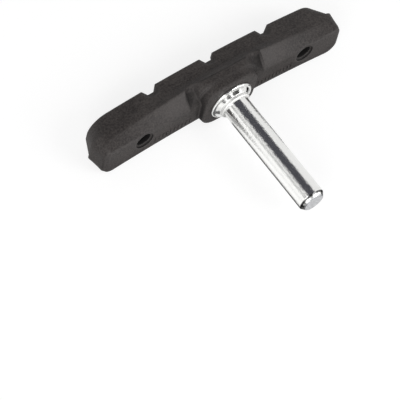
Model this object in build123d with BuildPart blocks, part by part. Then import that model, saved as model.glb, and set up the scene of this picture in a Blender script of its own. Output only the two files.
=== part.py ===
# Bicycle rim brake pad: a rubber block moulded round a steel plate, on a smooth plated post
import os
from math import asin, degrees, radians, sqrt, tan

from build123d import *

# Frame: +X along the pad, +Y out of the braking face, -Y along the post, +Z away from the hub.
# The origin is on the post's axis, where the plain post leaves its flange. Lengths in mm.

# Post, turned from bar, with an upset flange and a tail peened over the plate
POST_DIAMETER = 7.0
POST_LENGTH = 31.4
END_CHAMFER_LENGTH = 1.1
END_CHAMFER_DEPTH = 0.8
END_ROUNDING = 0.3
FLANGE_DIAMETER = 11.9
FLANGE_HEIGHT = 2.5
FLANGE_RIM_HEIGHT = 0.75
FLANGE_RIM_WIDTH = 0.7
FLANGE_BEVEL = 0.25
COLLAR_DIAMETER = 8.3
COLLAR_HEIGHT = 0.9
COLLAR_BEVEL = 0.3
STEM_DIAMETER = 6.2
TENON_DIAMETER = 4.4
TAIL_DIAMETER = 6.4
TAIL_HEIGHT = 0.9
TAIL_ROUNDING = 0.35

# Backing plate, stamped, wholly inside the rubber
PLATE_LENGTH = 56.0
PLATE_WIDTH = 6.0
PLATE_CORNER = 2.4
PLATE_EYE_DIAMETER = 9.0     # widening round the post's tenon
PLATE_THICKNESS = 1.5
PLATE_COVER = 2.5            # rubber between the back of the wings and the plate

# Rubber block: depths along Y, counted from the flange's seat
FACE_DEPTH = 11.6            # seat to braking face
FACE_HALF_DEPTH = 4.7        # braking face to the mould's parting line
WING_SETBACK = 1.6           # seat to the back of the wings, at the pin holes
BACK_TILT = 2.5              # degrees that the back of the wings leans

# Rubber block: outline in the XZ plane
PAD_LENGTH = 73.8
FACE_LENGTH = 68.8
FACE_TOP = 4.05              # braking face above the post's axis, at mid length
FACE_BOTTOM = 5.75           # braking face below the post's axis
SIDE_DRAFT = 0.85            # outward lean of the sides over the braking half
BOTTOM_DRAFT = 0.15
FACE_ARC_RADIUS = 225.0      # the long edges follow the wheel
BACK_ARC_RADIUS = 255.0      # flatter, so that a ledge opens towards the ends
SHOULDER = 11.3              # half length of the raised middle of the upper side
CROWN_RISE = 5.0             # flared upper side at the back, over its curve at the parting line
SHOULDER_RISE = 5.0
WING_RISE = 0.7              # half way from the shoulder to the end
END_RISE = 0.55
PARTING_STEP = 0.35           # ledge at the ends of the pad
BACK_INSET = 0.6             # draft of the back half at its ends
BACK_BOTTOM_INSET = 0.15     # draft of the back half at its lower edge
FACE_CORNER = 6.0            # upper corners of the braking half
PARTING_CORNER = 3.6
UPPER_CORNER = 3.2           # upper corners of the back half
LOWER_CORNER = 2.8
FACE_EDGE_RADIUS = 0.6
BACK_EDGE_RADIUS = 1.3
BURY = 0.05                  # how far joined forms reach into each other

# Sloping upper back, from a crease under the upper side down to a crest on the back
SLOPE_OVERRUN = 3.1          # one section is beyond the pad's end, the other one at mid length
SLOPE_MID_DEPTH = 6.4       # braking face to the crease
SLOPE_MID_HEIGHT = 8.0      # crease above the post's axis
SLOPE_MID_CREST = 1.7        # crest above the post's axis
SLOPE_END_DEPTH = 6.65
SLOPE_END_HEIGHT = 1.45
SLOPE_END_CREST = 1.4

# Ridges that lift the slope towards the boss
RIDGE_ROOT_DEPTH = 6.55
RIDGE_ROOT_HEIGHT = 6.4
RIDGE_ROOT_CREST = 1.9
RIDGE_ROOT_RISE = 0.06       # crest above the back of the wing
RIDGE_TOE = 24.0
RIDGE_TOE_DEPTH = 6.65
RIDGE_TOE_HEIGHT = 3.9
RIDGE_TOE_CREST = 1.5
RIDGE_TOE_RISE = -0.2        # the toe sinks into the wing
RIDGE_FOOT = 1.1             # crest to the foot of the ridge's lower slope

# Scooped valleys between the ridges and the boss, deep at the top and running out below
VALLEY_PLACE = 9.5           # at the top
VALLEY_FOOT_PLACE = 11.2
VALLEY_RADIUS = 2.2
VALLEY_DEPTH = 1.1

# Boss round the post
BOSS_WIDTH = 15.6
BOSS_TOP = 7.2
BOSS_BOTTOM = 7.5
BOSS_ROUNDNESS = 0.65        # corner radius as a share of half the height
BOSS_EDGE_RADIUS = 0.5
BOSS_FOOT_WIDTH = 16.4       # where the boss meets its flare
BOSS_FOOT_DEPTH = 2.6        # seat to that level
FLARE_WIDTH = 22.0           # at the parting line
FLARE_SHOULDER_DEPTH = 4.65  # seat to the level where its upper side bends
FLARE_SHOULDER_WIDTH = 18.8
FLARE_SHOULDER_TOP = 7.0
FLARE_SHOULDER_BOTTOM = 6.6
FLARE_NECK_WIDTH = 17.4
FLARE_STEP = 0.1             # flare over boss, above and below
FLARE_INSET = 0.2            # flare inside the pad, where it starts

# Grooves across the braking face
GROOVE_PITCH = 17.3
GROOVE_WIDTH = 4.2
GROOVE_FLOOR = 2.0           # width of the groove's floor, between leaning walls
GROOVE_DEPTH = 1.55
GROOVE_SIDE_DEPTH = 0.7      # depth of the same groove where it runs up the upper side
GROOVE_SIDE_LENGTH = 3.2     # how far it runs up, from the braking face
GROOVE_CORNER = 0.9

# Holes left by the pins that held the plate and the post in the mould
PIN_HOLE_SPACING = 49.2
PIN_HOLE_DIAMETER = 4.0
PIN_HOLE_DROP = 1.0          # hole centres below the post's axis
PIN_MOUTH_DIAMETER = 5.1
PIN_MOUTH_DEPTH = 0.5
CORE_HOLE_DIAMETER = 5.0

# Planes across the post's axis
seat = FLANGE_HEIGHT
face = seat + FACE_DEPTH
parting = face - FACE_HALF_DEPTH
wing_back = seat + WING_SETBACK
plate_back = wing_back + PLATE_COVER
plate_front = plate_back + PLATE_THICKNESS

# Heights above and below the post's axis at mid length
parting_top = FACE_TOP + SIDE_DRAFT
parting_bottom = FACE_BOTTOM + BOTTOM_DRAFT
parting_half = PAD_LENGTH / 2 - PARTING_STEP
edge_middle = BACK_EDGE_RADIUS * (1 - sqrt(0.5))
slope_end = PAD_LENGTH / 2 + SLOPE_OVERRUN
back_lean = tan(radians(BACK_TILT))
groove_turn = degrees(asin(GROOVE_PITCH / FACE_ARC_RADIUS))
arc_axis = Axis((0, 0, FACE_TOP - FACE_ARC_RADIUS), (0, 1, 0))


def back_depth(height):
    """Place along Y of the leaning back of the wings, at a height above the post's axis."""
    return wing_back + back_lean * (height + PIN_HOLE_DROP)


def sag(x, radius):
    """Drop of a long curved edge at a distance from the middle of the pad."""
    return radius - sqrt(radius**2 - x**2)


def wheel_tops(half, top, radius):
    """Heights of an upper edge that follows the wheel: middle, shoulder, half way to the end, and end."""
    return [top - sag(x, radius) for x in (0, SHOULDER, (SHOULDER + half) / 2, half)]


def pad_outline(plane, half, tops, bottom, bottom_radius, upper_corner):
    """Outline of the pad on a plane: a crown between two wings above, and one long curve below."""
    crown, shoulder, wing, end = tops
    middle = (SHOULDER + half) / 2
    lower = -bottom - sag(half, bottom_radius)
    with BuildSketch(plane) as outline:
        with BuildLine():
            for side in (-1, 1):
                ThreePointArc((side * SHOULDER, shoulder), (side * middle, wing), (side * half, end))
                Line((side * half, end), (side * half, lower))
            ThreePointArc((-SHOULDER, shoulder), (0, crown), (SHOULDER, shoulder))
            ThreePointArc((-half, lower), (0, -bottom), (half, lower))
        make_face()
        corners = outline.vertices().filter_by(lambda corner: abs(corner.X) > middle).sort_by(Axis.Y)
        fillet(corners[2:], upper_corner)
        fillet(outline.vertices().sort_by(Axis.Y)[:2], LOWER_CORNER)
    return outline.sketch


def back_outline(depth, inset):
    """Outline of the back half at a depth under its back, set in where its edge is rounded off."""
    half = PAD_LENGTH / 2 - BACK_INSET - inset
    share = 1 - depth / (parting - wing_back)
    tops = [
        height + share * rise
        for height, rise in zip(
            wheel_tops(half, parting_top, FACE_ARC_RADIUS),
            (CROWN_RISE, SHOULDER_RISE, WING_RISE, END_RISE),
        )
    ]
    plane = Plane((0, back_depth(0), 0), x_dir=(1, 0, 0), z_dir=(0, -1, back_lean)).offset(-depth)
    bottom = parting_bottom - BACK_BOTTOM_INSET - inset
    return pad_outline(plane, half, tops, bottom, BACK_ARC_RADIUS, UPPER_CORNER)


def slope_section(x, depth, height, crest):
    """Triangle that the slope cuts away, across the pad, from its crease to its crest on the back."""
    top = Vector(face - depth, height)
    foot = Vector(back_depth(crest), crest)
    low, high = foot * 2 - top, top * 3 - foot * 2
    with BuildSketch(Plane.YZ.offset(x)) as section:
        with BuildLine():
            Polyline((low.X, low.Y), (high.X, high.Y), (low.X, high.Y), close=True)
        make_face()
    return section.sketch


def ridge_section(x, depth, height, crest, rise):
    """Section of a ridge across the pad: its top, its crest lifted above the back, and its foot."""
    foot = crest - RIDGE_FOOT
    inside = parting - BURY
    with BuildSketch(Plane.YZ.offset(x)) as section:
        with BuildLine():
            Polyline(
                (inside, parting_top - sag(x, FACE_ARC_RADIUS) - BURY),
                (face - depth, height),
                (back_depth(crest) - rise, crest),
                (back_depth(foot) - min(rise, 0) + BURY, foot),
                (inside, foot),
                close=True,
            )
        make_face()
    return section.sketch


def boss_section(depth, width, top, bottom):
    """Rounded outline of the boss on a plane across the post's axis."""
    with BuildSketch(Plane.XZ.offset(-depth)) as section:
        with Locations((0, (top - bottom) / 2)):
            RectangleRounded(width, top + bottom, BOSS_ROUNDNESS * (top + bottom) / 2)
    return section.sketch


os.makedirs("parts", exist_ok=True)

# Post: one profile turned about the post's axis
with BuildPart() as post:
    with BuildSketch(Plane.XY):
        with BuildLine():
            Polyline(
                (0, -POST_LENGTH),
                (POST_DIAMETER / 2 - END_CHAMFER_DEPTH, -POST_LENGTH),
                (POST_DIAMETER / 2, -POST_LENGTH + END_CHAMFER_LENGTH),
                (POST_DIAMETER / 2, 0),
                (COLLAR_DIAMETER / 2 - COLLAR_BEVEL, 0),
                (COLLAR_DIAMETER / 2, COLLAR_BEVEL),
                (COLLAR_DIAMETER / 2, COLLAR_HEIGHT),
                (FLANGE_DIAMETER / 2 - FLANGE_RIM_WIDTH, seat - FLANGE_RIM_HEIGHT),
                (FLANGE_DIAMETER / 2 - FLANGE_BEVEL, seat - FLANGE_RIM_HEIGHT),
                (FLANGE_DIAMETER / 2, seat - FLANGE_RIM_HEIGHT + FLANGE_BEVEL),
                (FLANGE_DIAMETER / 2, seat),
                (STEM_DIAMETER / 2, seat),
                (STEM_DIAMETER / 2, plate_back),
                (TENON_DIAMETER / 2, plate_back),
                (TENON_DIAMETER / 2, plate_front),
                (TAIL_DIAMETER / 2, plate_front),
                (TAIL_DIAMETER / 2, plate_front + TAIL_HEIGHT),
                (0, plate_front + TAIL_HEIGHT),
                close=True,
            )
        make_face()
    revolve(axis=Axis.Y)
    rings = post.edges().filter_by(GeomType.CIRCLE).group_by(Axis.Y)
    fillet(rings[1], END_ROUNDING)
    fillet(post.edges().filter_by(GeomType.CIRCLE).group_by(Axis.Y)[-1], TAIL_ROUNDING)
post.part.label = "post"
export_step(post.part, "parts/post.step")

# Backing plate: a strip with rounded corners and an eye for the post's tenon
with BuildPart() as backing_plate:
    with BuildSketch(Plane.XZ.offset(-plate_front)):
        with Locations((0, -PIN_HOLE_DROP)):
            RectangleRounded(PLATE_LENGTH, PLATE_WIDTH, PLATE_CORNER)
        Circle(PLATE_EYE_DIAMETER / 2)
        Circle(TENON_DIAMETER / 2, mode=Mode.SUBTRACT)
    extrude(amount=PLATE_THICKNESS)
backing_plate.part.label = "backing_plate"
export_step(backing_plate.part, "parts/backing_plate.step")

# Cutter for the middle groove: a slot with leaning walls across the face, turned up the upper side
with BuildPart() as groove:
    with BuildSketch(Plane.XY.offset(-parting_bottom)):
        with BuildLine():
            Polyline(
                (-GROOVE_WIDTH / 2, face),
                (-GROOVE_FLOOR / 2, face - GROOVE_DEPTH),
                (GROOVE_FLOOR / 2, face - GROOVE_DEPTH),
                (GROOVE_WIDTH / 2, face),
                close=True,
            )
        make_face()
    extrude(amount=parting_bottom + BOSS_TOP)
    upper_side = Plane((0, face, FACE_TOP), x_dir=(1, 0, 0), z_dir=(0, SIDE_DRAFT, FACE_HALF_DEPTH))
    with BuildSketch(upper_side):
        RectangleRounded(GROOVE_WIDTH, 2 * GROOVE_SIDE_LENGTH, 2 * GROOVE_CORNER)
    with BuildSketch(upper_side.offset(-GROOVE_SIDE_DEPTH)):
        RectangleRounded(GROOVE_FLOOR, 2 * GROOVE_SIDE_LENGTH - GROOVE_WIDTH + GROOVE_FLOOR, GROOVE_CORNER)
    loft()

# Brake block: two halves that meet at the parting line, then slopes, ridges, boss and cuts
with BuildPart() as brake_block:
    loft(
        sections=[
            pad_outline(
                Plane.XZ.offset(-face),
                FACE_LENGTH / 2,
                wheel_tops(FACE_LENGTH / 2, FACE_TOP, FACE_ARC_RADIUS),
                FACE_BOTTOM,
                FACE_ARC_RADIUS,
                FACE_CORNER,
            ),
            pad_outline(
                Plane.XZ.offset(-parting),
                parting_half,
                wheel_tops(parting_half, parting_top - BURY, FACE_ARC_RADIUS),
                parting_bottom + BURY,
                FACE_ARC_RADIUS,
                PARTING_CORNER,
            ),
        ],
        ruled=True,
    )
    fillet(brake_block.faces().sort_by(Axis.Y)[-1].edges(), FACE_EDGE_RADIUS)
    loft(
        sections=[
            pad_outline(
                Plane.XZ.offset(-parting),
                PAD_LENGTH / 2,
                wheel_tops(PAD_LENGTH / 2, parting_top, FACE_ARC_RADIUS),
                parting_bottom,
                BACK_ARC_RADIUS,
                UPPER_CORNER,
            ),
            back_outline(BACK_EDGE_RADIUS, 0),
            back_outline(edge_middle, edge_middle),
            back_outline(0, BACK_EDGE_RADIUS),
        ],
        ruled=True,
    )
    for side in (-1, 1):
        loft(
            sections=[
                slope_section(0, SLOPE_MID_DEPTH, SLOPE_MID_HEIGHT, SLOPE_MID_CREST),
                slope_section(side * slope_end, SLOPE_END_DEPTH, SLOPE_END_HEIGHT, SLOPE_END_CREST),
            ],
            ruled=True,
            mode=Mode.SUBTRACT,
        )
    for side in (-1, 1):
        loft(
            sections=[
                ridge_section(
                    side * SHOULDER,
                    RIDGE_ROOT_DEPTH,
                    RIDGE_ROOT_HEIGHT,
                    RIDGE_ROOT_CREST,
                    RIDGE_ROOT_RISE,
                ),
                ridge_section(
                    side * RIDGE_TOE,
                    RIDGE_TOE_DEPTH,
                    RIDGE_TOE_HEIGHT,
                    RIDGE_TOE_CREST,
                    RIDGE_TOE_RISE,
                ),
            ],
            ruled=True,
        )
        top = Vector(side * VALLEY_PLACE, face - RIDGE_ROOT_DEPTH, RIDGE_ROOT_HEIGHT)
        foot = Vector(side * VALLEY_FOOT_PLACE, back_depth(RIDGE_ROOT_CREST), RIDGE_ROOT_CREST)
        outward = side * (foot - top).cross(Vector(side, 0, 0)).normalized()
        top += outward * (VALLEY_RADIUS - VALLEY_DEPTH)
        foot += outward * VALLEY_RADIUS
        with BuildSketch(Plane(top, z_dir=foot - top)):
            Circle(VALLEY_RADIUS)
        extrude(amount=BOSS_WIDTH, both=True, mode=Mode.SUBTRACT)
    neck = seat + BOSS_FOOT_DEPTH
    loft(
        sections=[
            boss_section(
                parting + BURY, FLARE_WIDTH, parting_top - FLARE_INSET, parting_bottom - FLARE_INSET
            ),
            boss_section(
                seat + FLARE_SHOULDER_DEPTH,
                FLARE_SHOULDER_WIDTH,
                FLARE_SHOULDER_TOP,
                FLARE_SHOULDER_BOTTOM,
            ),
            boss_section(neck, FLARE_NECK_WIDTH, BOSS_TOP + FLARE_STEP, BOSS_BOTTOM + FLARE_STEP),
        ],
        ruled=True,
    )
    loft(
        sections=[
            boss_section(neck + BURY, BOSS_FOOT_WIDTH, BOSS_TOP, BOSS_BOTTOM),
            boss_section(seat, BOSS_WIDTH, BOSS_TOP, BOSS_BOTTOM),
        ],
        ruled=True,
    )
    fillet(brake_block.faces().sort_by(Axis.Y)[0].edges(), BOSS_EDGE_RADIUS)
    for turn in (-groove_turn, 0, groove_turn):
        add(groove.part.rotate(arc_axis, turn), mode=Mode.SUBTRACT)
    with Locations(Plane((0, face, 0), z_dir=(0, 1, 0))):
        Hole(CORE_HOLE_DIAMETER / 2, face - plate_front - TAIL_HEIGHT)
    with Locations(Plane((0, wing_back, -PIN_HOLE_DROP), x_dir=(1, 0, 0), z_dir=(0, -1, 0))):
        with GridLocations(PIN_HOLE_SPACING, 0, 2, 1):
            CounterBoreHole(
                PIN_HOLE_DIAMETER / 2, PIN_MOUTH_DIAMETER / 2, PIN_MOUTH_DEPTH, PLATE_COVER
            )
    add(post.part, mode=Mode.SUBTRACT)
    add(backing_plate.part, mode=Mode.SUBTRACT)
brake_block.part.label = "brake_block"
export_step(brake_block.part, "parts/brake_block.step")
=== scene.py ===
# %% [markdown]
# A bicycle rim brake pad: a block of moulded rubber on a smooth plated steel post.
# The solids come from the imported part, and they stay as they are. This lesson gives each of them its finish,
# adds the fine moulded bars on the back, and sets up a studio and a camera.

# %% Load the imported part
import math

import bpy
import numpy as np
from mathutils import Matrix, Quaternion, Vector


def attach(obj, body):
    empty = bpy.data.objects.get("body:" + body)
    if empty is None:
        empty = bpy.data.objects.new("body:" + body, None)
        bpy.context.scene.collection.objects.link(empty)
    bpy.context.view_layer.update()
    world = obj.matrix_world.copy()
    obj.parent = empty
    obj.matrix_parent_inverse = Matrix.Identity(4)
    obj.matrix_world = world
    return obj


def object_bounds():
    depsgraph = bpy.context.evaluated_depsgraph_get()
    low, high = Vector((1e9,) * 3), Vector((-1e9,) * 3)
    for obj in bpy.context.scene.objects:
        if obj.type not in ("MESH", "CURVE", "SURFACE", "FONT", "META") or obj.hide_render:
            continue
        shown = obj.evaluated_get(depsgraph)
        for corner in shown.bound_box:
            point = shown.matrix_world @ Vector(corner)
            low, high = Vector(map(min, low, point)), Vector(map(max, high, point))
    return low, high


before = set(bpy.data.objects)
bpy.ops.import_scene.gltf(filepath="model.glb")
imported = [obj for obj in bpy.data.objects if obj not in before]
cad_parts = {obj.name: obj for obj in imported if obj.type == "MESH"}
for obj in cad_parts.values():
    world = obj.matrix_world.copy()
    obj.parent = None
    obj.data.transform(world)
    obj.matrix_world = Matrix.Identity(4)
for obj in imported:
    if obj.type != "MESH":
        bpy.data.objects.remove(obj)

MM = 0.001
cad_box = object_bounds()
print("pieces:", sorted(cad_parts), "box in mm:", [round(v / MM, 1) for v in cad_box[1] - cad_box[0]])

# %% [markdown]
# Colours are chosen on a screen, so they are written as sRGB hex values.
# Shaders work with linear light, so one function converts them.
# Patterns are given by the size of their grain in millimetres, and a texture's scale is grains per metre.

# %% Colours and sizes
def linear(hex_colour):
    """Linear RGBA of an sRGB hex colour: each channel is undone from its display curve."""
    srgb = np.array([int(hex_colour[i:i + 2], 16) for i in (1, 3, 5)]) / 255
    light = np.where(srgb <= 0.04045, srgb / 12.92, ((srgb + 0.055) / 1.055) ** 2.4)
    return (*light.tolist(), 1.0)


def per_metre(grain_mm):
    """Texture scale at which one grain measures this many millimetres."""
    return 1000 / grain_mm


print("a screen's mid grey is", round(linear("#808080")[0], 3), "in linear light")

# %% [markdown]
# A finish is a tree of nodes. One function adds a node with its settings and links, so that each step
# of a finish is one statement. A mask says where on the piece a tone holds, as a number from 0 to 1.
# Where several masks have to hold together, their product is the mask.

# %% Nodes and materials
MIX_A, MIX_B, MIX_OUT = 6, 7, 2      # sockets of a colour Mix node, whose names several kinds share


def add_node(tree, kind, inputs, **settings):
    """Adds a node, sets its options, and fills its inputs with values or links."""
    node = tree.nodes.new(kind)
    for name, value in settings.items():
        setattr(node, name, value)
    for name, value in inputs.items():
        if isinstance(value, bpy.types.NodeSocket):
            tree.links.new(value, node.inputs[name])
        else:
            node.inputs[name].default_value = value
    return node


def new_material(name):
    """An empty node material: its tree, its surface shader and its object coordinates."""
    material = bpy.data.materials.new(name)
    material.use_nodes = True
    tree = material.node_tree
    coords = add_node(tree, "ShaderNodeTexCoord", {}).outputs["Object"]
    return material, tree, tree.nodes["Principled BSDF"], coords


def dress(piece, material):
    """Puts one material on every slot of a piece."""
    for slot in piece.material_slots:
        slot.material = material
    print(piece.name, "is now", material.name)


# %% [markdown]
# The block is vulcanised rubber, black with a warm grey cast, taken from a spark-eroded steel mould.
# Such a mould leaves a fine matte grain with a faint speckle, and the rubber adds soft patches of bloom.
# A painted texture could show all that, but noise on object coordinates needs no unwrapping.

# %% Grain and tone of the moulded rubber
RUBBER_GRAIN = 0.45          # mm, coarser than the real grain so that it shows in the render
RUBBER_MOTTLE = 5.0          # mm, soft patches of bloom
MOTTLE_SHARE = 0.2           # how far a patch shifts the tone
RUBBER_BLACK = "#262221"
RUBBER_GREY = "#4a4543"

rubber, tree, shader, coords = new_material("moulded_rubber")
grain = add_node(tree, "ShaderNodeTexNoise", {
    "Vector": coords, "Scale": per_metre(RUBBER_GRAIN), "Detail": 3.0, "Roughness": 0.6})
mottle = add_node(tree, "ShaderNodeTexNoise", {
    "Vector": coords, "Scale": per_metre(RUBBER_MOTTLE), "Detail": 4.0, "Roughness": 0.6})
speckle = add_node(tree, "ShaderNodeMapRange", {
    "Value": grain.outputs["Fac"], "From Min": 0.3, "From Max": 0.7})
patches = add_node(tree, "ShaderNodeMapRange", {
    "Value": mottle.outputs["Fac"], "From Min": 0.35, "From Max": 0.65,
    "To Min": -MOTTLE_SHARE, "To Max": MOTTLE_SHARE})
tone = add_node(tree, "ShaderNodeMath", {
    0: speckle.outputs["Result"], 1: patches.outputs["Result"]}, operation="ADD", use_clamp=True)
body = add_node(tree, "ShaderNodeMix", {
    "Factor": tone.outputs["Value"], MIX_A: linear(RUBBER_BLACK), MIX_B: linear(RUBBER_GREY)},
    data_type="RGBA")
print("rubber from", RUBBER_BLACK, "to", RUBBER_GREY, "in grains of", RUBBER_GRAIN, "mm")

# %% [markdown]
# No edge comes out of a mould quite sharp. Handling rubs the edges lighter, and that lighter tone
# also serves as a painted highlight along them. The hollows get painted shade. Bevels could be cut into the
# mesh, but a bevelled normal softens the edges and leaves the solid alone, and where it differs from the true
# normal, there is an edge to lighten. Ambient occlusion finds the hollows for the painted shade. A second one
# that sees less far finds the fine creases, and it is taken off the first, so that fine creases get no painted
# shade.

# %% Lighter edges, and painted shade in hollows
RUBBER_SOFTNESS = 1.0        # mm, radius of the softened edges
RUBBER_HOLLOW = 8.0          # mm, reach of the painted shade in hollows
RUBBER_CREASE = 0.6          # mm, creases as fine as this get no painted shade
EDGE_WEAR_AND_HIGHLIGHT = 0.5               # share of the lighter tone on a sharp edge: rubbing wear, and a painted highlight
EDGE_TURN = (0.9995, 0.96)   # cosine of the turned normal, where the lighter tone starts and where it is full
HOLLOW_SHADE = 0.97          # share of the painted shade in a deep hollow
HOLLOW_RANGE = (0.08, 0.4)   # share of the view shut off, where the painted shade starts and where it is full

soft_normal = add_node(tree, "ShaderNodeBevel", {"Radius": RUBBER_SOFTNESS * MM}, samples=8)
geometry = add_node(tree, "ShaderNodeNewGeometry", {})
agreement = add_node(tree, "ShaderNodeVectorMath", {
    0: soft_normal.outputs["Normal"], 1: geometry.outputs["Normal"]}, operation="DOT_PRODUCT")
# The edge mask lightens edges for rubbing wear, and it also paints a highlight along them.
edge = add_node(tree, "ShaderNodeMapRange", {
    "Value": agreement.outputs["Value"], "From Min": EDGE_TURN[0], "From Max": EDGE_TURN[1],
    "To Max": EDGE_WEAR_AND_HIGHLIGHT})
# The hollows found by ambient occlusion are darkened: painted shade.
hollow = add_node(tree, "ShaderNodeAmbientOcclusion", {
    "Distance": RUBBER_HOLLOW * MM}, samples=8, only_local=True)
crease = add_node(tree, "ShaderNodeAmbientOcclusion", {
    "Distance": RUBBER_CREASE * MM}, samples=8, only_local=True)
enclosed = add_node(tree, "ShaderNodeMath", {
    0: crease.outputs["AO"], 1: hollow.outputs["AO"]}, operation="SUBTRACT")
hollow_shade_mask = add_node(tree, "ShaderNodeMapRange", {
    "Value": enclosed.outputs["Value"], "From Min": HOLLOW_RANGE[0], "From Max": HOLLOW_RANGE[1],
    "To Max": HOLLOW_SHADE})
open_edge = add_node(tree, "ShaderNodeMath", {
    0: edge.outputs["Result"], 1: hollow.outputs["AO"]}, operation="MULTIPLY")
print("edges softened by", RUBBER_SOFTNESS, "mm, hollows dark over", RUBBER_HOLLOW, "mm")

# %% [markdown]
# On each side of the boss, a scooped valley parts it from the ridge on the wing.
# In the photograph the valley is dark, most of all under the sharp line where the ridge breaks off,
# and it clears up towards the boss. The ridge beyond that line is lighter, and that fades along the wing.
# Here the dark of the valley is painted shade, and the light of the ridge is painted sheen.
# Faces could be cut out for the two tones, but masks leave the mesh alone and fade softly.
# Each mask changes along one axis of the pad, and their products pick out the two places.

# %% Painted shade in the valleys, and painted sheen on the ridges
VALLEY_EDGE = 11.4           # mm from the post's axis, where the ridge breaks off
VALLEY_BREAK = 0.3           # mm, width of that line
VALLEY_INNER = 8.2           # mm from the post's axis, where the valley meets the boss
VALLEY_FLOOR = 0.5           # mm above the post's axis, where the valley runs out
VALLEY_RISE = 2.5            # mm, from there up to its full dark
VALLEY_SHADE = 0.85          # share of the painted shade under the ridge's end
RIDGE_FADE = (15.0, 24.0)    # mm from the post's axis, where the painted sheen on the ridge fades into the wing
RIDGE_SHEEN = 0.5              # share of the lighter tone on the ridge, as painted sheen
CREASE_PLACE = 7.6           # mm from the origin to the crease under the upper side
CREASE_BREAK = 0.5           # mm, width of that line

place = add_node(tree, "ShaderNodeSeparateXYZ", {"Vector": coords})
sideways = add_node(tree, "ShaderNodeMath", {0: place.outputs["X"]}, operation="ABSOLUTE")
inside = add_node(tree, "ShaderNodeMapRange", {
    "Value": sideways.outputs["Value"],
    "From Min": VALLEY_EDGE * MM, "From Max": (VALLEY_EDGE - VALLEY_BREAK) * MM})
on_wall = add_node(tree, "ShaderNodeMapRange", {
    "Value": sideways.outputs["Value"], "From Min": VALLEY_INNER * MM, "From Max": VALLEY_EDGE * MM,
    "To Max": VALLEY_SHADE})
up_wall = add_node(tree, "ShaderNodeMapRange", {
    "Value": place.outputs["Z"],
    "From Min": VALLEY_FLOOR * MM, "From Max": (VALLEY_FLOOR + VALLEY_RISE) * MM})
behind = add_node(tree, "ShaderNodeMapRange", {
    "Value": place.outputs["Y"],
    "From Min": CREASE_PLACE * MM, "From Max": (CREASE_PLACE - CREASE_BREAK) * MM})
beyond = add_node(tree, "ShaderNodeMapRange", {
    "Value": inside.outputs["Result"], "To Min": 1.0, "To Max": 0.0})
along = add_node(tree, "ShaderNodeMapRange", {
    "Value": sideways.outputs["Value"], "From Min": RIDGE_FADE[1] * MM, "From Max": RIDGE_FADE[0] * MM,
    "To Max": RIDGE_SHEEN})
# The valley mask places painted shade beside the boss, and the ridge mask places painted sheen on the ridge.
valley, ridge = inside.outputs["Result"], beyond.outputs["Result"]
for mask in (on_wall, up_wall, behind):
    valley = add_node(tree, "ShaderNodeMath", {
        0: valley, 1: mask.outputs["Result"]}, operation="MULTIPLY").outputs["Value"]
# The ridge mask paints sheen: a lighter tone where the facets catch the light.
for mask in (along, up_wall, behind):
    ridge = add_node(tree, "ShaderNodeMath", {
        0: ridge, 1: mask.outputs["Result"]}, operation="MULTIPLY").outputs["Value"]
print("valleys from", VALLEY_INNER, "to", VALLEY_EDGE, "mm, ridges rubbed up to", RIDGE_FADE[1], "mm")

# %% [markdown]
# Now the tones go over each other: the body, then the lighter tone of rubbed edges, painted highlights
# and painted sheen, then the painted shade. Where shade is painted, the rubber is also made fully rough.
# Elsewhere the rubber has a soft sheen, which changes with the patches. The grain also lifts the surface a
# little, on top of the softened edges.
# The rubber could be one even black, but then its facets would hardly part from each other.

# %% Finish of the moulded rubber
# The light tone is for worn edges and also paints highlights and sheen; the dark tone is painted shade.
WEAR_AND_HIGHLIGHT_TONE = "#534f4e"
PAINTED_SHADE_TONE = "#070606"
RUBBER_SHEEN = (0.58, 0.7)   # roughness, from one patch to another
GRAIN_RELIEF = 0.08          # mm

# One mask for the lighter tone, from wear and painted light, and one for the painted shade.
wear_and_painted_light = add_node(tree, "ShaderNodeMath", {0: open_edge.outputs["Value"], 1: ridge}, operation="MAXIMUM")
dark = add_node(tree, "ShaderNodeMath", {0: hollow_shade_mask.outputs["Result"], 1: valley}, operation="MAXIMUM")
lightened = add_node(tree, "ShaderNodeMix", {
    "Factor": wear_and_painted_light.outputs["Value"], MIX_A: body.outputs[MIX_OUT], MIX_B: linear(WEAR_AND_HIGHLIGHT_TONE)},
    data_type="RGBA")
painted_shade_mix = add_node(tree, "ShaderNodeMix", {
    "Factor": dark.outputs["Value"], MIX_A: lightened.outputs[MIX_OUT], MIX_B: linear(PAINTED_SHADE_TONE)},
    data_type="RGBA")
relief = add_node(tree, "ShaderNodeBump", {
    "Height": grain.outputs["Fac"], "Strength": 0.5, "Distance": GRAIN_RELIEF * MM,
    "Normal": soft_normal.outputs["Normal"]})
gloss = add_node(tree, "ShaderNodeMapRange", {
    "Value": mottle.outputs["Fac"], "From Min": 0.3, "From Max": 0.7,
    "To Min": RUBBER_SHEEN[0], "To Max": RUBBER_SHEEN[1]})
# Where shade is painted, the roughness goes up to full.
rough_where_shaded = add_node(tree, "ShaderNodeMix", {
    "Factor": dark.outputs["Value"], "A": gloss.outputs["Result"], "B": 1.0})
tree.links.new(painted_shade_mix.outputs[MIX_OUT], shader.inputs["Base Color"])
tree.links.new(rough_where_shaded.outputs["Result"], shader.inputs["Roughness"])
tree.links.new(relief.outputs["Normal"], shader.inputs["Normal"])
shader.inputs["IOR"].default_value = 1.5
shader.inputs["Specular IOR Level"].default_value = 0.3
dress(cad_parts["brake_block"], rubber)

# %% [markdown]
# Low on the back of each wing, between the boss and the pin hole, the mould leaves a strip of raised relief.
# Here it holds a row of plain upright bars, as a mould maker cuts them with a small ball-nosed cutter.
# They could be boxes with a bevel, but a superellipsoid gives the soft pillow shape in one formula.

# %% Shape of a moulded bar
BAR_WIDTH = 0.5              # mm
BAR_HEIGHT = 1.7             # mm
BAR_RISE = 0.2               # mm above the back
BAR_SQUARENESS = 0.5         # 1 is an ellipsoid, smaller is squarer
BAR_STEPS = 16               # round a bar, and half as many from end to end


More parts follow.
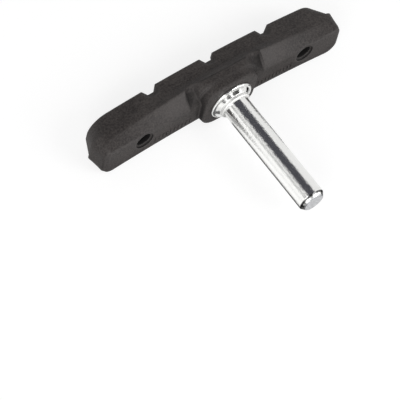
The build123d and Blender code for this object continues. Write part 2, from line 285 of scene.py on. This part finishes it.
def signed_power(values, power):
    """Each value's size raised to a power, with its own sign."""
    return np.sign(values) * np.abs(values) ** power


def pillow(half_sizes):
    """Superellipsoid: the sines and cosines of a sphere's two angles, each raised to the same power."""
    turn = np.arange(BAR_STEPS) * 2 * np.pi / BAR_STEPS
    lift = np.linspace(-np.pi / 2, np.pi / 2, BAR_STEPS // 2 + 1)[1:-1]
    turn, lift = np.meshgrid(turn, lift)
    waist = signed_power(np.cos(lift), BAR_SQUARENESS)
    grid = np.stack([
        waist * signed_power(np.cos(turn), BAR_SQUARENESS),
        waist * signed_power(np.sin(turn), BAR_SQUARENESS),
        signed_power(np.sin(lift), BAR_SQUARENESS)], axis=-1)
    return np.concatenate([grid.reshape(-1, 3), [(0, 0, -1), (0, 0, 1)]]) * half_sizes


def pillow_faces():
    """Quads between neighbouring rings of a pillow, and a fan of triangles at each of its two poles."""
    rows = BAR_STEPS // 2 - 1
    here = np.arange(BAR_STEPS)
    after = (here + 1) % BAR_STEPS
    start = np.arange(rows - 1)[:, None] * BAR_STEPS
    quads = np.stack([
        start + here, start + after, start + BAR_STEPS + after, start + BAR_STEPS + here], axis=-1)
    low, high = rows * BAR_STEPS, rows * BAR_STEPS + 1
    last = low - BAR_STEPS
    bottom = np.stack([np.full(BAR_STEPS, low), after, here], axis=-1)
    top = np.stack([np.full(BAR_STEPS, high), last + here, last + after], axis=-1)
    return quads.reshape(-1, 4), np.concatenate([bottom, top])


bar_shape = pillow(np.array([BAR_WIDTH / 2, BAR_RISE, BAR_HEIGHT / 2]) * MM)
quads, fans = pillow_faces()
print("a bar has", len(bar_shape), "points and", len(quads) + len(fans), "faces")

# %% [markdown]
# The back of the wing leans, so each bar has to lean with it. Its place could be worked out from the solid's
# angles, but a ray from behind finds both the place and the lean, wherever the back is.
# Half of each bar sinks into the rubber, so that no gap shows.

# %% Moulded bars on the back
BAR_PITCH = 1.15             # mm
BAR_COUNT = 10               # on each wing
BAR_START = 10.6             # mm from the post's axis to the first bar
BAR_DROP = 3.2               # mm below the post's axis

bpy.context.view_layer.update()
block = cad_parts["brake_block"]
across, forward = Vector((1, 0, 0)), Vector((0, 1, 0))
points, faces = [], []
for side in (-1, 1):
    for index in range(BAR_COUNT):
        ray_start = Vector((side * (BAR_START + index * BAR_PITCH), cad_box[0].y / MM, -BAR_DROP)) * MM
        _, foot, normal, _ = block.ray_cast(ray_start, forward)
        axes = np.array([across, normal, across.cross(normal)])
        first = len(points) * len(bar_shape)
        points.append(bar_shape @ axes + np.array(foot))
        faces += (quads + first).tolist() + (fans + first).tolist()
bar_mesh = bpy.data.meshes.new("moulded_bars")
bar_mesh.from_pydata(np.concatenate(points).tolist(), [], faces)
bar_mesh.shade_smooth()
bar_mesh.materials.append(rubber)
bars = bpy.data.objects.new("moulded_bars", bar_mesh)
bpy.context.scene.collection.objects.link(bars)
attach(bars, "root")
print("bars:", len(points), "with", len(faces), "faces, the last at", [round(v / MM, 2) for v in foot])

# %% [markdown]
# The post is turned from steel bar and plated with bright zinc, which mirrors the room, a little softened.
# Handling leaves fine scratches along it, and the clamp pits it, so that the edges of mirrored things fray.
# Both could be carved, but they are far finer than the mesh, so noise stands for them,
# stretched along the post for the scratches.

# %% Scratches and pits of the post
SCRATCH_LENGTH = 3.0         # mm
SCRATCH_WIDTH = 0.25         # mm, coarser than real scratches so that they show in the render
SCRATCH_DEPTH = 0.02         # mm
PIT_SIZE = 0.55              # mm, coarser than real pitting so that it shows in the render
PIT_DEPTH = 0.07             # mm, deeper than real pitting for the same cause
PIT_STRENGTH = (0.1, 0.9)    # beside the flange, and where the clamp holds the post
CLAMP_START = 1.0            # mm from the flange, from where on the clamp has pitted the post
TURNED_EDGE = 0.4            # mm, radius that polishing gives the turned edges

plated, tree, shader, coords = new_material("zinc_plated_steel")
stretched = add_node(tree, "ShaderNodeMapping", {
    "Vector": coords, "Scale": (1.0, SCRATCH_WIDTH / SCRATCH_LENGTH, 1.0)})
scratches = add_node(tree, "ShaderNodeTexNoise", {
    "Vector": stretched.outputs["Vector"], "Scale": per_metre(SCRATCH_WIDTH),
    "Detail": 3.0, "Roughness": 0.7})
pits = add_node(tree, "ShaderNodeTexNoise", {
    "Vector": coords, "Scale": per_metre(PIT_SIZE), "Detail": 3.0, "Roughness": 0.6})
place = add_node(tree, "ShaderNodeSeparateXYZ", {"Vector": coords})
clamped = add_node(tree, "ShaderNodeMapRange", {
    "Value": place.outputs["Y"], "From Min": -CLAMP_START * MM, "From Max": -2 * CLAMP_START * MM,
    "To Min": PIT_STRENGTH[0], "To Max": PIT_STRENGTH[1]})
soft_normal = add_node(tree, "ShaderNodeBevel", {"Radius": TURNED_EDGE * MM}, samples=16)
scratched = add_node(tree, "ShaderNodeBump", {
    "Height": scratches.outputs["Fac"], "Strength": 0.06, "Distance": SCRATCH_DEPTH * MM,
    "Normal": soft_normal.outputs["Normal"]})
pitted = add_node(tree, "ShaderNodeBump", {
    "Height": pits.outputs["Fac"], "Strength": clamped.outputs["Result"], "Distance": PIT_DEPTH * MM,
    "Normal": scratched.outputs["Normal"]})
print("scratches", SCRATCH_WIDTH, "mm wide, pits of", PIT_SIZE, "mm from", CLAMP_START, "mm on")

# %% [markdown]
# The collar looks duller than the post, as if a polishing wheel hadn't reached it. The end looks faced off:
# it is greyer and duller too, with marks like a tool's. A dark line runs round the post where the end's
# chamfer starts. It is a reflection, painted into the metal here as a dark line, to be placed exactly.
# Masks along the post's axis pick out the collar, the end and the line, and the turned edges get a little of
# the line's tone, as painted dark reflections along them.

# %% Collar, end, and painted reflections on the post
COLLAR = 0.9                 # mm, height of the collar
END_FACE = 31.2              # mm from the flange, beyond which the steel is faced off
PAINTED_REFLECTION_LINE = (30.35, 30.8)     # mm from the flange, where the painted dark reflection starts and stops
REFLECTION_SHARE = 0.9             # share of the dark tone on that painted reflection
EDGE_REFLECTION_SHARE = 0.3             # share of the dark tone on a turned edge, as a painted reflection
POST_TURN = (0.985, 0.95)    # cosine of the turned normal, where that starts and where it is full
BORDER = 0.1                 # mm, width of the border between two finishes

end = add_node(tree, "ShaderNodeMapRange", {
    "Value": place.outputs["Y"], "From Min": -(END_FACE - BORDER) * MM, "From Max": -END_FACE * MM})
collar_start = add_node(tree, "ShaderNodeMapRange", {
    "Value": place.outputs["Y"], "From Min": -BORDER * MM, "From Max": 0.0})
collar_stop = add_node(tree, "ShaderNodeMapRange", {
    "Value": place.outputs["Y"], "From Min": (COLLAR + BORDER) * MM, "From Max": COLLAR * MM})
collar = add_node(tree, "ShaderNodeMath", {
    0: collar_start.outputs["Result"], 1: collar_stop.outputs["Result"]}, operation="MULTIPLY")
# The dark line near the end is a painted reflection.
line_start = add_node(tree, "ShaderNodeMapRange", {
    "Value": place.outputs["Y"], "From Min": -(PAINTED_REFLECTION_LINE[0] - BORDER) * MM, "From Max": -PAINTED_REFLECTION_LINE[0] * MM})
line_stop = add_node(tree, "ShaderNodeMapRange", {
    "Value": place.outputs["Y"], "From Min": -PAINTED_REFLECTION_LINE[1] * MM, "From Max": -(PAINTED_REFLECTION_LINE[1] - BORDER) * MM,
    "To Max": REFLECTION_SHARE})
painted_line = add_node(tree, "ShaderNodeMath", {
    0: line_start.outputs["Result"], 1: line_stop.outputs["Result"]}, operation="MULTIPLY")
geometry = add_node(tree, "ShaderNodeNewGeometry", {})
agreement = add_node(tree, "ShaderNodeVectorMath", {
    0: soft_normal.outputs["Normal"], 1: geometry.outputs["Normal"]}, operation="DOT_PRODUCT")
# Turned edges are darkened: a painted reflection.
edge = add_node(tree, "ShaderNodeMapRange", {
    "Value": agreement.outputs["Value"], "From Min": POST_TURN[0], "From Max": POST_TURN[1],
    "To Max": EDGE_REFLECTION_SHARE})
painted_reflections = add_node(tree, "ShaderNodeMath", {
    0: edge.outputs["Result"], 1: painted_line.outputs["Value"]}, operation="MAXIMUM")
print("collar", COLLAR, "mm high, line at", PAINTED_REFLECTION_LINE, "mm, end faced off at", END_FACE, "mm")

# %% [markdown]
# The plating is pale and nearly neutral. Its tone goes into the base colour, its shine into the roughness.
# A metal needs no IOR of its own here: its base colour is what it mirrors straight on.
# The bands that such a post shows could be painted on it, but a true mirror changes with the view.

# %% Finish of the zinc plated steel
ZINC = "#e6e6e4"
FACED_STEEL = ("#a6a7a9", "#d4d5d7")     # the dark and the light of the tool's marks
PAINTED_REFLECTION_TONE = "#2c2c2e"
ZINC_HAZE = (0.1, 0.26)      # roughness, from clear plating to scratched
END_HAZE = 0.42              # roughness of the faced end
COLLAR_HAZE = 0.6            # roughness of the collar

haze = add_node(tree, "ShaderNodeMapRange", {
    "Value": scratches.outputs["Fac"], "From Min": 0.4, "From Max": 0.75,
    "To Min": ZINC_HAZE[0], "To Max": ZINC_HAZE[1]})
dull = add_node(tree, "ShaderNodeMix", {
    "Factor": end.outputs["Result"], "A": haze.outputs["Result"], "B": END_HAZE})
frosted = add_node(tree, "ShaderNodeMix", {
    "Factor": collar.outputs["Value"], "A": dull.outputs["Result"], "B": COLLAR_HAZE})
tool_marks = add_node(tree, "ShaderNodeMapRange", {
    "Value": pits.outputs["Fac"], "From Min": 0.35, "From Max": 0.65})
faced = add_node(tree, "ShaderNodeMix", {
    "Factor": tool_marks.outputs["Result"], MIX_A: linear(FACED_STEEL[0]), MIX_B: linear(FACED_STEEL[1])},
    data_type="RGBA")
tint = add_node(tree, "ShaderNodeMix", {
    "Factor": end.outputs["Result"], MIX_A: linear(ZINC), MIX_B: faced.outputs[MIX_OUT]}, data_type="RGBA")
# The line and the turned edges darken to this tone: painted reflections.
outlined = add_node(tree, "ShaderNodeMix", {
    "Factor": painted_reflections.outputs["Value"], MIX_A: tint.outputs[MIX_OUT], MIX_B: linear(PAINTED_REFLECTION_TONE)},
    data_type="RGBA")
tree.links.new(outlined.outputs[MIX_OUT], shader.inputs["Base Color"])
tree.links.new(frosted.outputs["Result"], shader.inputs["Roughness"])
tree.links.new(pitted.outputs["Normal"], shader.inputs["Normal"])
shader.inputs["Metallic"].default_value = 1.0
dress(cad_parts["post"], plated)

# %% [markdown]
# The plate inside the rubber is plain rolled steel. It shows only at the bottom of the two pin holes,
# where mill scale and mould residue make it dark and quite dull. Its near black is also painted shade
# for the bottom of those deep holes.
# An even black would nearly do there, but faint spots keep it looking like metal.

# %% Rolled steel with mill scale, and painted shade in the holes
SCALE_GRAIN = 0.8            # mm
# Nearly black tones: mill scale, and painted shade at the bottom of the holes.
SCALE_AND_SHADE_TONES = ("#070707", "#131212")

scaled, tree, shader, coords = new_material("rolled_steel")
scale_spots = add_node(tree, "ShaderNodeTexNoise", {
    "Vector": coords, "Scale": per_metre(SCALE_GRAIN), "Detail": 4.0})
scale_and_shade_tone = add_node(tree, "ShaderNodeMix", {
    "Factor": scale_spots.outputs["Fac"], MIX_A: linear(SCALE_AND_SHADE_TONES[0]), MIX_B: linear(SCALE_AND_SHADE_TONES[1])},
    data_type="RGBA")
tree.links.new(scale_and_shade_tone.outputs[MIX_OUT], shader.inputs["Base Color"])
shader.inputs["Metallic"].default_value = 0.2
shader.inputs["Roughness"].default_value = 0.85
shader.inputs["Specular IOR Level"].default_value = 0.2
dress(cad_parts["backing_plate"], scaled)

# %% [markdown]
# The studio is a white table under soft light. The table is a plain sheet just under the lowest point
# of the pad. What the camera or a mirror sees of it gets most of its white from the sheet itself,
# as on a light table, so it ends up white and still keeps a faint shadow.
# A white background could be painted in behind the pad, but it would catch no shadow.

# %% White table
TABLE_HALF = 4.0             # m
GROUND_GAP = 0.2             # mm
TABLE_TONE = "#909090"
WHITE = linear("#ffffff")
TABLE_LIFT = 0.8             # share of white that the sheet gives by itself


def studio_sheet(name, corners):
    """A flat piece of the studio with four corners."""
    mesh = bpy.data.meshes.new(name)
    mesh.from_pydata(np.asarray(corners).tolist(), [], [(0, 1, 2, 3)])
    sheet = bpy.data.objects.new(name, mesh)
    bpy.context.scene.collection.objects.link(sheet)
    return sheet


def seen_rays(tree):
    """1 for rays from the camera, a mirror or clear glass, and 0 for rays that only carry light."""
    path = add_node(tree, "ShaderNodeLightPath", {})
    seen = add_node(tree, "ShaderNodeMath", {
        0: path.outputs["Is Camera Ray"], 1: path.outputs["Is Glossy Ray"]}, operation="MAXIMUM")
    seen_through = add_node(tree, "ShaderNodeMath", {
        0: seen.outputs["Value"], 1: path.outputs["Is Transmission Ray"]}, operation="MAXIMUM")
    return seen_through.outputs["Value"]


table_level = cad_box[0].z - GROUND_GAP * MM
table = studio_sheet("table", [
    (x * TABLE_HALF, y * TABLE_HALF, table_level) for x, y in ((-1, -1), (1, -1), (1, 1), (-1, 1))])
paper, tree, shader, coords = new_material("white_paper")
shader.inputs["Base Color"].default_value = linear(TABLE_TONE)
shader.inputs["Roughness"].default_value = 0.9
shader.inputs["Specular IOR Level"].default_value = 0.0
lift = add_node(tree, "ShaderNodeMath", {0: seen_rays(tree), 1: TABLE_LIFT}, operation="MULTIPLY")
tree.links.new(lift.outputs["Value"], shader.inputs["Emission Strength"])
shader.inputs["Emission Color"].default_value = WHITE
table.data.materials.append(paper)
print("table at", round(table_level / MM, 2), "mm")

# %% [markdown]
# The room is white all round. It lights the pad at about a third of its strength, and what the camera
# and mirrors see of it is white. Two big soft lamps stand in front, on the post's side: they light
# the sloping backs of the wings and leave the upper side darker, and so each facet of the rubber shows.
# A picture of a studio could give the light as well, but lamps can be adjusted one by one.

# %% Room and lamps
ROOM_LIGHT = 0.36
LAMP_SIZE = 0.5              # m
LAMPS = {                    # place in m, power in W
    "right_lamp": (Vector((0.4, -0.7, 0.6)), 3.7),
    "left_lamp": (Vector((-0.7, -0.5, 0.55)), 4.0),
}

world = bpy.data.worlds.new("white_room")
bpy.context.scene.world = world
world.use_nodes = True
tree = world.node_tree
strength = add_node(tree, "ShaderNodeMapRange", {
    "Value": seen_rays(tree), "To Min": ROOM_LIGHT, "To Max": 1.0})
room = tree.nodes["Background"]
room.inputs["Color"].default_value = WHITE
tree.links.new(strength.outputs["Result"], room.inputs["Strength"])

for name, (spot, power) in LAMPS.items():
    lamp_data = bpy.data.lights.new(name, "AREA")
    lamp_data.shape = "SQUARE"
    lamp_data.size = LAMP_SIZE
    lamp_data.energy = power
    lamp = bpy.data.objects.new(name, lamp_data)
    lamp.location = spot
    lamp.rotation_mode = "QUATERNION"
    lamp.rotation_quaternion = (-spot).to_track_quat("-Z", "Y")
    bpy.context.scene.collection.objects.link(lamp)
    print(name, [round(v, 2) for v in spot], power, "W")

# %% [markdown]
# A bright post in an all-white room would vanish, so photographers hang cards round it for it to mirror.
# Cards hang overhead or on the left, stand in front, or lie on the table,
# so four functions give their corners.

# %% Places for cards
OVERHEAD = 1.0               # m above the post
OVERHEAD_RUN = (-1.5, 2.5)   # m along the post
LEFT_RUN = (-0.5, 2.0)       # m along the post
FLAG_RISE = 0.1              # mm above the table


def overhead(x_low, x_high):
    """Corners of a card that hangs over the post, from its limits in metres."""
    near, far = OVERHEAD_RUN
    return [
        (x_low, near, OVERHEAD), (x_low, far, OVERHEAD), (x_high, far, OVERHEAD), (x_high, near, OVERHEAD)]


def on_left(x, z_low, z_high):
    """Corners of a card that hangs upright on the left of the post, from its limits in metres."""
    near, far = LEFT_RUN
    return [(x, near, z_low), (x, far, z_low), (x, far, z_high), (x, near, z_high)]


def standing(x_low, x_high, y, z_low, z_high):
    """Corners of a card that stands in front of the post, from its limits in metres."""
    return [(x_low, y, z_low), (x_high, y, z_low), (x_high, y, z_high), (x_low, y, z_high)]


def on_table(x_low, x_high, y_low, y_high):
    """Corners of a card that lies on the table, from its limits in millimetres."""
    level = table_level / MM + FLAG_RISE
    return np.array([
        (x_low, y_low, level), (x_high, y_low, level), (x_high, y_high, level), (x_low, y_high, level)]) * MM


print("cards overhead at", OVERHEAD, "m, and on the table at", round(table_level / MM + FLAG_RISE, 2), "mm")

# %% [markdown]
# The dark card overhead makes the post's long stripe, with a soft batten along its edge, and the grey batten
# a thin streak beside it. The white card and the glow on the table make its bright bands.
# In front, a glow gives the flange its white and the rubber its sheen, and two dark gaps there make
# the spots on the flange. Flags on the table shade the post's lower edge, its flange and its end.
# The flag under the post and the two in front of the wings are painted shadow of the table, seen only in
# mirrors.
# Only mirrors see the cards here, so they throw no shadow, and each glows with the tone that it shows.

# %% Cards for the post to mirror
BLACK = linear("#000000")
CARDS = {                    # colour, strength and corners
    "dark_card": ("#515157", 1.0, overhead(-0.54, 0.66)),
    "soft_batten": ("#a4a4a6", 1.0, overhead(-0.64, -0.54)),
    "grey_batten": ("#b0b0b0", 1.0, on_left(-1.0, 0.6, 0.82)),
    "white_card": ("#ffffff", 1.25, on_left(-1.1, -0.005, 0.5)),
    "front_glow": ("#ffffff", 3.3, standing(-1.4, 2.4, -1.3, 0.0, 0.5)),
    "right_gap": ("#202020", 1.0, standing(0.2, 0.95, -1.2, 0.0, 0.8)),
    "middle_gap": ("#202020", 1.0, standing(-0.22, 0.12, -1.2, 0.0, 0.4)),
    "left_glow": ("#ffffff", 1.25, on_table(-60, -11, -34, -2)),
    # The next three sheets lie where the table is in shade: painted shadow, for mirrors only.
    "post_shadow_flag": ("#707070", 1.0, on_table(-7, 0, -34, 0)),
    "left_shadow_flag": ("#b0b0b0", 1.0, on_table(-45, -10, 0, 5)),
    "right_shadow_flag": ("#c0c0c0", 1.0, on_table(12, 45, 0, 5)),
    "right_edge_flag": ("#181818", 1.0, on_table(16, 27, -8, 0)),
    "flange_flag": ("#303030", 1.0, on_table(-40, -10, -100, -45)),
    "right_end_flag": ("#1c1c1c", 1.0, on_table(10, 45, -50, -29)),
    "left_end_flag": ("#1c1c1c", 1.0, on_table(-14, -3, -46, -33)),
}

for name, (colour, glow, corners) in CARDS.items():
    card = studio_sheet(name, corners)
    felt, tree, shader, coords = new_material(name + "_tone")
    shader.inputs["Base Color"].default_value = BLACK
    shader.inputs["Specular IOR Level"].default_value = 0.0
    shader.inputs["Emission Color"].default_value = linear(colour)
    shader.inputs["Emission Strength"].default_value = glow
    card.data.materials.append(felt)
    card.visible_camera = False
    card.visible_diffuse = False
    card.visible_shadow = False
    print(name, colour, "at strength", glow)

# %% [markdown]
# The camera was fitted to the photograph's outlines: a long lens, high in front of the post and to its left.
# It could be placed by eye, but a fitted camera lets each edge be compared with the photograph.

# %% Camera
CAMERA_PLACE = Vector((-0.29117, -0.22672, 0.55454))
CAMERA_AIM = Vector((-0.01676, -0.01131, -0.01357))
CAMERA_ROLL = 17.907         # degrees about the line of sight
CAMERA_LENS = 246.84         # mm
SENSOR_WIDTH = 36.0          # mm

camera_data = bpy.data.cameras.new("camera")
camera_data.lens = CAMERA_LENS
camera_data.sensor_width = SENSOR_WIDTH
camera = bpy.data.objects.new("camera", camera_data)
camera.location = CAMERA_PLACE
camera.rotation_mode = "QUATERNION"
sight = (CAMERA_AIM - CAMERA_PLACE).to_track_quat("-Z", "Y")
camera.rotation_quaternion = sight @ Quaternion((0, 0, 1), math.radians(CAMERA_ROLL))
bpy.context.scene.collection.objects.link(camera)
bpy.context.scene.camera = camera
bpy.context.scene.view_settings.view_transform = "Standard"
print("camera", round((CAMERA_AIM - CAMERA_PLACE).length / MM), "mm away, with a lens of", CAMERA_LENS, "mm")
